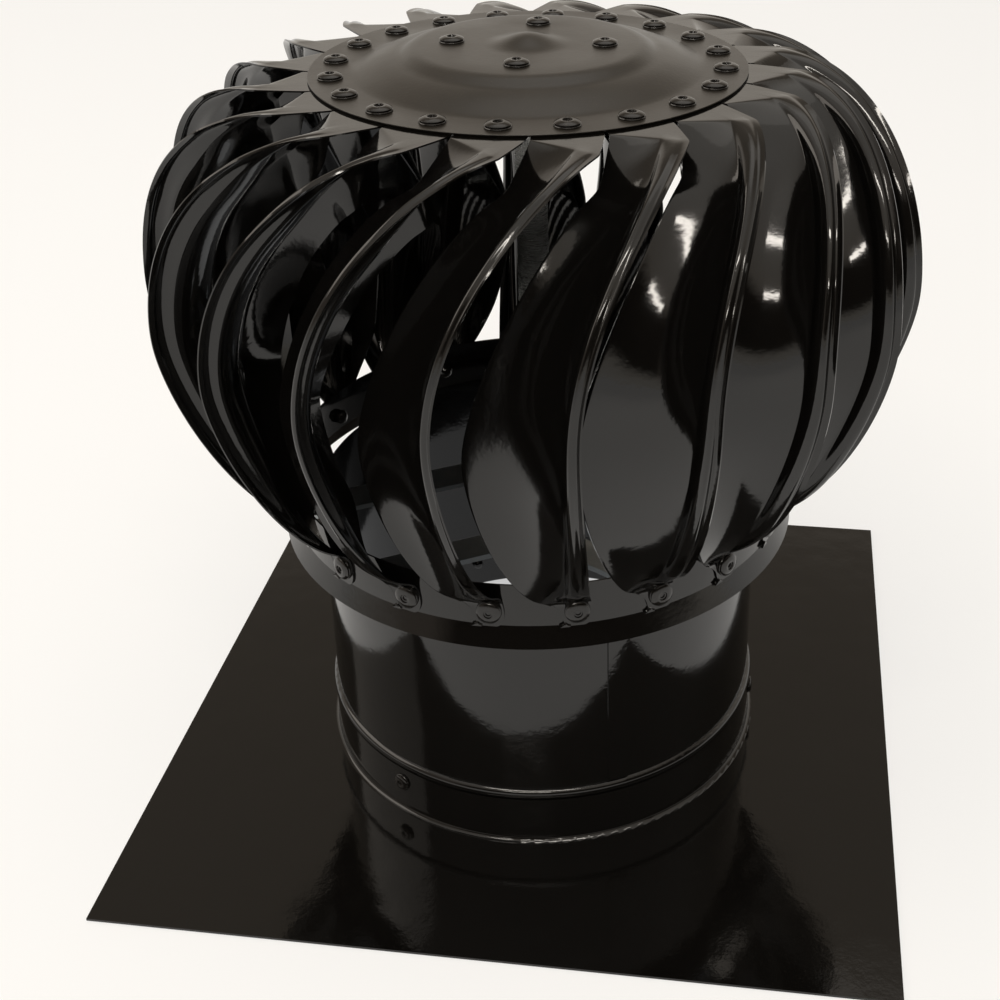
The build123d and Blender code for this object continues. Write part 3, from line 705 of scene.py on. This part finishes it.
def blind_rivet(name, grip):
    """Dome with the mandrel's hollow on top of z = 0, and the set tail below the riveted sheets."""
    s = sizes("turbine_rivets")
    head, height, shank, hollow = s.head_radius, s.head_height, s.shank_radius, s.mandrel_radius
    hole = [(0.0, -0.9 * MM), (0.5, -0.85 * MM), (0.6, -0.5 * MM), (0.9, -0.45 * MM), (1.0, -0.08 * MM),
            (1.12, 0.0), (1.6, -0.05 * MM)]
    dome = [(0.72, 0.84), (0.88, 0.70), (0.95, 0.56), (0.94, 0.46), (0.86, 0.40), (0.86, 0.34), (0.97, 0.28),
            (1.0, 0.16), (0.98, 0.0)]
    tail = [(shank, -grip), (shank + 0.5 * MM, -grip - 0.5 * MM), (shank + 0.5 * MM, -grip - 1.7 * MM),
            (shank * 0.8, -grip - 2.7 * MM), (shank * 0.5, -grip - 3.0 * MM), (0.0, -grip - 3.0 * MM)]
    outline = [(hollow * r, height + z) for r, z in hole] + [(head * r, height * z) for r, z in dome]
    outline += [(shank, 0.0)] + tail
    places = [Vector((r, 0, z)) for r, z in outline]
    obj = start_from_point(name, places[0])
    draw_line(places)
    spin_round(s.steps)
    object_mode()
    smooth(obj, 38)
    give(obj, rivet_finish_once())
    return obj


def rivet_row(node, body, places, grip, scale=1.0):
    """All rivets of one circle as one object that takes the place of their CAD node."""
    pattern = blind_rivet(node + "_pattern", grip / scale)
    copies = [place_copy(pattern, f"{node}_{i:02d}", place @ Matrix.Scale(scale, 4))
              for i, place in enumerate(places)]
    bpy.data.objects.remove(pattern, do_unlink=True)
    row = join_all(copies, node + "_domed")
    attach(row, body)
    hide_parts(node)


def on_wall(radius, angle, height):
    """Local Z pointing straight out of a round wall."""
    return (Matrix.Translation(polar(radius, angle, height)) @ Matrix.Rotation(angle, 4, "Z")
            @ Matrix.Rotation(math.pi / 2, 4, "Y"))


class TURBINE_OT_rivets(bpy.types.Operator):
    """Blind rivets of the cap, hub, ring and collar"""
    bl_idname = "turbine.rivets"
    bl_label = "Rivets"

    def execute(self, context):
        s, v, c = sizes("turbine_rivets"), sizes("turbine_vanes"), sizes("turbine_cap")
        pitch = math.tau / v.number
        middle = c.rim_height + c.middle_rise
        cap = [Matrix.Translation(polar(s.cap_circle, v.first + pitch * i, c.rim_height))
               for i in range(v.number)]
        hub = [Matrix.Translation(polar(s.hub_circle, s.hub_first + math.tau * i / s.hub_number, middle))
               for i in range(s.hub_number)]
        ring = [on_wall(v.foot_radius, v.first + v.foot_lag + pitch * i, v.foot_rivet_height)
                for i in range(v.number)]
        collar = [on_wall(s.collar_radius, math.tau * i / s.collar_number, s.collar_height)
                  for i in range(s.collar_number)]
        rivet_row("cap_rivets", "rotor", cap, s.cap_grip)
        rivet_row("hub_rivets", "rotor", hub, s.hub_grip)
        rivet_row("ring_rivets", "rotor", ring, s.ring_grip)
        rivet_row("collar_rivets", "stator", collar, s.collar_grip, s.small)
        return {"FINISHED"}


# ------------------------------------------------------------------ cap, painted sheet and bare metal

class CapSizes(bpy.types.PropertyGroup):
    radius: length("Radius", "Outside of the cap", 66.5 * MM)
    rim_height: length("Rim height", "Top face of the rim", 240.2 * MM)
    sheet: length("Sheet", "Thickness of the cap's sheet", 0.8 * MM)
    slope_from: length("Slope from", "Inner edge of the flat rim", 53.0 * MM)
    slope_to: length("Slope to", "Inner edge of the slope", 40.5 * MM)
    slope_rise: length("Slope rise", "Rise of the slope over the rim", 4.2 * MM)
    middle_radius: length("Middle radius", "Edge of the raised middle", 36.5 * MM)
    middle_rise: length("Middle rise", "Raised middle over the rim", 6.8 * MM)
    dome_radius: length("Dome radius", "Foot of the dome at the middle", 14.0 * MM)
    dome_rise: length("Dome rise", "Top of the dome over the raised middle", 3.0 * MM)
    steps: count("Steps", "Faces round the cap", 160)


def cap_profile(s):
    """Upper face from the middle out: small dome, raised middle, soft step, slope and flat rim."""
    rim = s.rim_height
    top, slope = rim + s.middle_rise, rim + s.slope_rise
    places = [(0.0, top + s.dome_rise)]
    for share in (i / 12 for i in range(1, 12)):
        fall = 0.45 * (1 + math.cos(math.pi * share)) ** 1.15
        places.append((s.dome_radius * share, top + s.dome_rise * fall))
    places += [(s.dome_radius, top), (24.0 * MM, top)]
    # Radius and height of the bends, in millimetres from the edge and the face that each belongs to.
    for edge, face, bends in ((s.middle_radius, top, ((-3.5, -0.02), (-1.6, -0.25), (0.0, -0.85))),
                              (s.middle_radius, slope, ((1.5, 0.75), (2.9, 0.18))),
                              (s.slope_to, slope, ((0.4, -0.02), (2.4, -0.45), (5.5, -1.35), (8.8, -2.65))),
                              (s.slope_from, rim, ((-1.6, 0.72), (-0.2, 0.2), (1.2, 0.0))),
                              (60.0 * MM, rim, ((0.0, 0.0),)),
                              (s.radius, rim, ((-0.12, 0.0), (0.0, -0.12)))):
        places += [(edge + out * MM, face + up * MM) for out, up in bends]
    return places


class TURBINE_OT_cap(bpy.types.Operator):
    """Spun cap with a stepped middle and a small dome"""
    bl_idname = "turbine.cap"
    bl_label = "Cap"

    def execute(self, context):
        s = sizes("turbine_cap")
        places = [Vector((r, 0, z)) for r, z in cap_profile(s)]
        cap = start_from_point("cap_spun", places[0])
        draw_line(places)
        spin_round(s.steps)
        object_mode()
        top = max(cap.data.polygons, key=lambda p: p.center.z)
        if top.normal.z < 0:
            bpy.ops.object.mode_set(mode="EDIT")
            bpy.ops.mesh.flip_normals()
        apply_modifier(cap, "SOLIDIFY", thickness=s.sheet, offset=-1.0)
        smooth(cap, 40)
        give(cap, satin_enamel())
        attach(cap, "rotor")
        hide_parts("top_cap")
        return {"FINISHED"}


class TURBINE_OT_painted_sheet(bpy.types.Operator):
    """Gloss black enamel on the base, neck and ring"""
    bl_idname = "turbine.painted_sheet"
    bl_label = "Painted sheet"

    def execute(self, context):
        repaint(gloss_enamel_once(), "base_plate", "neck_tube", "bottom_ring")
        return {"FINISHED"}


class TURBINE_OT_bare_metal(bpy.types.Operator):
    """Zinc plated, ground steel and brass parts inside the head"""
    bl_idname = "turbine.bare_metal"
    bl_label = "Bare metal"

    def execute(self, context):
        zinc = zinc_plate()
        ground = ground_steel("ground_shaft_steel", smoothest=0.22, scratch_mm=1.2)
        polished = ground_steel("polished_bearing_steel", smoothest=0.10, scratch_mm=0.8)
        brass = pressed_brass()
        repaint(zinc, "neck_spider", "spider_nuts", "spider_washers", "hub_cup", "lower_arms",
                "shaft_circlip")
        repaint(ground, "shaft")
        for level in ("upper", "lower"):
            bearing = f"{level}_bearing_"
            repaint(polished, bearing + "inner_ring", bearing + "outer_ring", bearing + "balls")
            repaint(brass, bearing + "cage")
        return {"FINISHED"}


# ------------------------------------------------------------------ stage

CAMERA_PLACE = Vector((75.3, -446.6, 369.4)) * MM
SENSOR_WIDTH = 36.0
FLOOR_SIZE = 30.0
FLOOR_GAP = 0.2 * MM    # between the underside of the plate and the board

# Name, place, what it is turned to, width, height, watts and colour.
LAMPS = (
    ("upper_strip", (0.03, -0.90, 1.40), (0.05, -0.05, 0.2), 0.95, 0.09, 6.5, "#FFF8EE"),
    ("lower_strip", (0.0, -1.40, 1.00), (0.05, -0.05, 0.2), 0.62, 0.07, 3.2, "#FFF8EE"),
    ("left_wall", (-1.7, -0.1, 1.2), (0, 0, 0.17), 1.6, 1.0, 11.0, "#FFF6EA"),
    ("ceiling", (0.3, 0.9, 2.6), (0, 0, 0.1), 2.0, 2.0, 5.0, "#FFFAF2"),
)

# Colours of the room from the horizon (0) to straight up (1): behind the object, in front and on the left.
WALL = ((0.0, "#F2ECE2"), (0.46, "#E6DACB"), (0.56, "#A09587"), (0.76, "#A09587"), (0.86, "#FFF8EE"),
        (1.0, "#FFF8EE"))
ROOM = ((0.0, "#E8E2D8"), (0.05, "#DDD5C9"), (0.12, "#2B2622"), (0.44, "#3A342E"), (0.54, "#D8CDBF"),
        (1.0, "#FFF8EE"))
SIDE = ((0.0, "#E8E2D8"), (0.10, "#A2968A"), (0.50, "#A2968A"), (1.0, "#FFF8EE"))


def place_camera(s):
    heading, tilt, roll = s.heading, s.tilt, s.roll
    ahead = Vector((-math.sin(heading), math.cos(heading), 0))
    forward = ahead * math.cos(tilt) + DOWN * math.sin(tilt)
    right = Vector((math.cos(heading), math.sin(heading), 0))
    up = right.cross(forward)
    right, up = right * math.cos(roll) + up * math.sin(roll), up * math.cos(roll) - right * math.sin(roll)
    data = bpy.data.cameras.new("camera")
    data.lens = s.lens
    data.sensor_width = SENSOR_WIDTH
    data.shift_x = s.shift_x
    data.shift_y = s.shift_y
    data.clip_start = 0.01
    camera = bpy.data.objects.new("camera", data)
    bpy.context.collection.objects.link(camera)
    turned = Matrix((right, up, -forward)).transposed().to_4x4()
    camera.matrix_world = Matrix.Translation(CAMERA_PLACE) @ turned
    bpy.context.scene.camera = camera


def softbox(name, place, target, width, height, watts, hex_value):
    """A rectangular lamp turned to its target."""
    data = bpy.data.lights.new(name, "AREA")
    data.shape = "RECTANGLE"
    data.size = width
    data.size_y = height
    data.energy = watts
    data.color = linear(hex_value)[:3]
    lamp = bpy.data.objects.new(name, data)
    bpy.context.collection.objects.link(lamp)
    lamp.location = place
    lamp.rotation_euler = (Vector(target) - Vector(place)).to_track_quat("-Z", "Y").to_euler()


def studio_world():
    """A pale wall behind the object, a dim room in front, a brownish wall on the left and a pale ceiling."""
    world = bpy.data.worlds.new("studio")
    bpy.context.scene.world = world
    world.use_nodes = True
    tree = world.node_tree
    background = tree.nodes["Background"]
    place = add_node(tree, "ShaderNodeTexCoord").outputs["Generated"]
    parts = add_node(tree, "ShaderNodeSeparateXYZ", links={"Vector": place}).outputs
    views = []
    for stops in (WALL, ROOM, SIDE):
        shades = add_node(tree, "ShaderNodeValToRGB", links={"Fac": parts["Z"]})
        elements = shades.color_ramp.elements
        elements[0].position, elements[0].color = stops[0][0], linear(stops[0][1])
        elements[1].position, elements[1].color = stops[-1][0], linear(stops[-1][1])
        for position, hex_value in stops[1:-1]:
            elements.new(position).color = linear(hex_value)
        views.append(shades.outputs["Color"])
    wall, room, side = views
    left = add_node(tree, "ShaderNodeMapRange", {"interpolation_type": "SMOOTHSTEP"},
                    {"From Min": -0.40, "From Max": -0.62}, {"Value": parts["X"]}).outputs["Result"]
    behind = add_node(tree, "ShaderNodeMapRange", {"interpolation_type": "SMOOTHSTEP"},
                      {"From Min": -0.1, "From Max": 0.45}, {"Value": parts["Y"]}).outputs["Result"]
    front = add_node(tree, "ShaderNodeMix", {"data_type": "RGBA"}, links={0: left, 6: room, 7: side})
    around = add_node(tree, "ShaderNodeMix", {"data_type": "RGBA"},
                      links={0: behind, 6: front.outputs[2], 7: wall})
    tree.links.new(around.outputs[2], background.inputs["Color"])
    background.inputs["Strength"].default_value = 1.0


def studio_floor():
    """A wide matt white board just under the object, partly glowing so that it stays white in view."""
    object_mode()
    bpy.ops.object.select_all(action="DESELECT")
    bpy.ops.mesh.primitive_plane_add(size=FLOOR_SIZE, location=(0, 0, 0))
    floor = bpy.context.object
    floor.name = "studio_floor"
    bpy.ops.object.mode_set(mode="EDIT")
    bpy.ops.mesh.select_all(action="SELECT")
    bpy.ops.mesh.subdivide(number_cuts=4)
    object_mode()
    # Matt white painted board: flat white with the faint relief of a roller.
    material, tree, shader, place = new_material("matt_white_board")
    shader.inputs["Base Color"].default_value = linear(sizes("turbine_finishes").floor)
    shader.inputs["Roughness"].default_value = 0.9
    shader.inputs["Specular IOR Level"].default_value = 0.1
    relief = add_node(tree, "ShaderNodeTexNoise", inputs={"Scale": blotches(3.0), "Detail": 2.0},
                      links={"Vector": place})
    normal = add_node(tree, "ShaderNodeBump", inputs={"Distance": 0.02 * MM},
                      links={"Height": relief.outputs["Fac"]})
    tree.links.new(normal.outputs["Normal"], shader.inputs["Normal"])
    # A share of the board glows white wherever it is seen, straight or mirrored; the rest keeps the shadow.
    seen = add_node(tree, "ShaderNodeLightPath").outputs
    straight = add_node(tree, "ShaderNodeMath", {"operation": "MAXIMUM"},
                        links={0: seen["Is Camera Ray"], 1: seen["Is Glossy Ray"]}).outputs[0]
    any_ray = add_node(tree, "ShaderNodeMath", {"operation": "MAXIMUM"},
                       links={0: straight, 1: seen["Is Transmission Ray"]}).outputs[0]
    share = add_node(tree, "ShaderNodeMath", {"operation": "MULTIPLY"}, {1: sizes("turbine_stage").glow},
                     {0: any_ray}).outputs[0]
    glow = add_node(tree, "ShaderNodeEmission", inputs={"Color": (1, 1, 1, 1), "Strength": 1.0}).outputs[0]
    both = add_node(tree, "ShaderNodeMixShader", links={0: share, 1: shader.outputs[0], 2: glow}).outputs[0]
    tree.links.new(both, tree.nodes["Material Output"].inputs["Surface"])
    give(floor, material)
    floor.location.z = -FLOOR_GAP


class TURBINE_OT_stage(bpy.types.Operator):
    """Camera, soft studio light and a pale floor"""
    bl_idname = "turbine.stage"
    bl_label = "Stage"

    def execute(self, context):
        context.scene.view_settings.view_transform = "Standard"
        place_camera(sizes("turbine_stage"))
        studio_world()
        studio_floor()
        for lamp in LAMPS:
            softbox(*lamp)
        return {"FINISHED"}


# ------------------------------------------------------------------ add-on

class TURBINE_PT_panel(bpy.types.Panel):
    bl_idname = "TURBINE_PT_panel"
    bl_label = "Roof turbine ventilator"
    bl_space_type = "VIEW_3D"
    bl_region_type = "UI"
    bl_category = "Turbine"

    def draw(self, context):
        for operator in OPERATORS:
            self.layout.operator(operator.bl_idname)
        for name in GROUPS:
            group = getattr(context.scene, name)
            box = self.layout.box()
            for key in group.__annotations__:
                box.prop(group, key)


OPERATORS = (TURBINE_OT_stage, TURBINE_OT_painted_sheet, TURBINE_OT_cap, TURBINE_OT_vanes, TURBINE_OT_rivets,
             TURBINE_OT_bare_metal)
GROUPS = {"turbine_vanes": VaneSizes, "turbine_cap": CapSizes, "turbine_rivets": RivetSizes,
          "turbine_finishes": Finishes, "turbine_stage": StageSizes}


def register():
    for name, group in GROUPS.items():
        bpy.utils.register_class(group)
        setattr(bpy.types.Scene, name, bpy.props.PointerProperty(type=group))
    for operator in OPERATORS:
        bpy.utils.register_class(operator)
    bpy.utils.register_class(TURBINE_PT_panel)


def unregister():
    bpy.utils.unregister_class(TURBINE_PT_panel)
    for operator in reversed(OPERATORS):
        bpy.utils.unregister_class(operator)
    for name, group in reversed(list(GROUPS.items())):
        delattr(bpy.types.Scene, name)
        bpy.utils.unregister_class(group)


def main():
    register()
    bpy.ops.turbine.stage()
    bpy.ops.turbine.painted_sheet()
    bpy.ops.turbine.cap()
    bpy.ops.turbine.vanes()
    bpy.ops.turbine.rivets()
    bpy.ops.turbine.bare_metal()


if __name__ == "__main__":
    main()
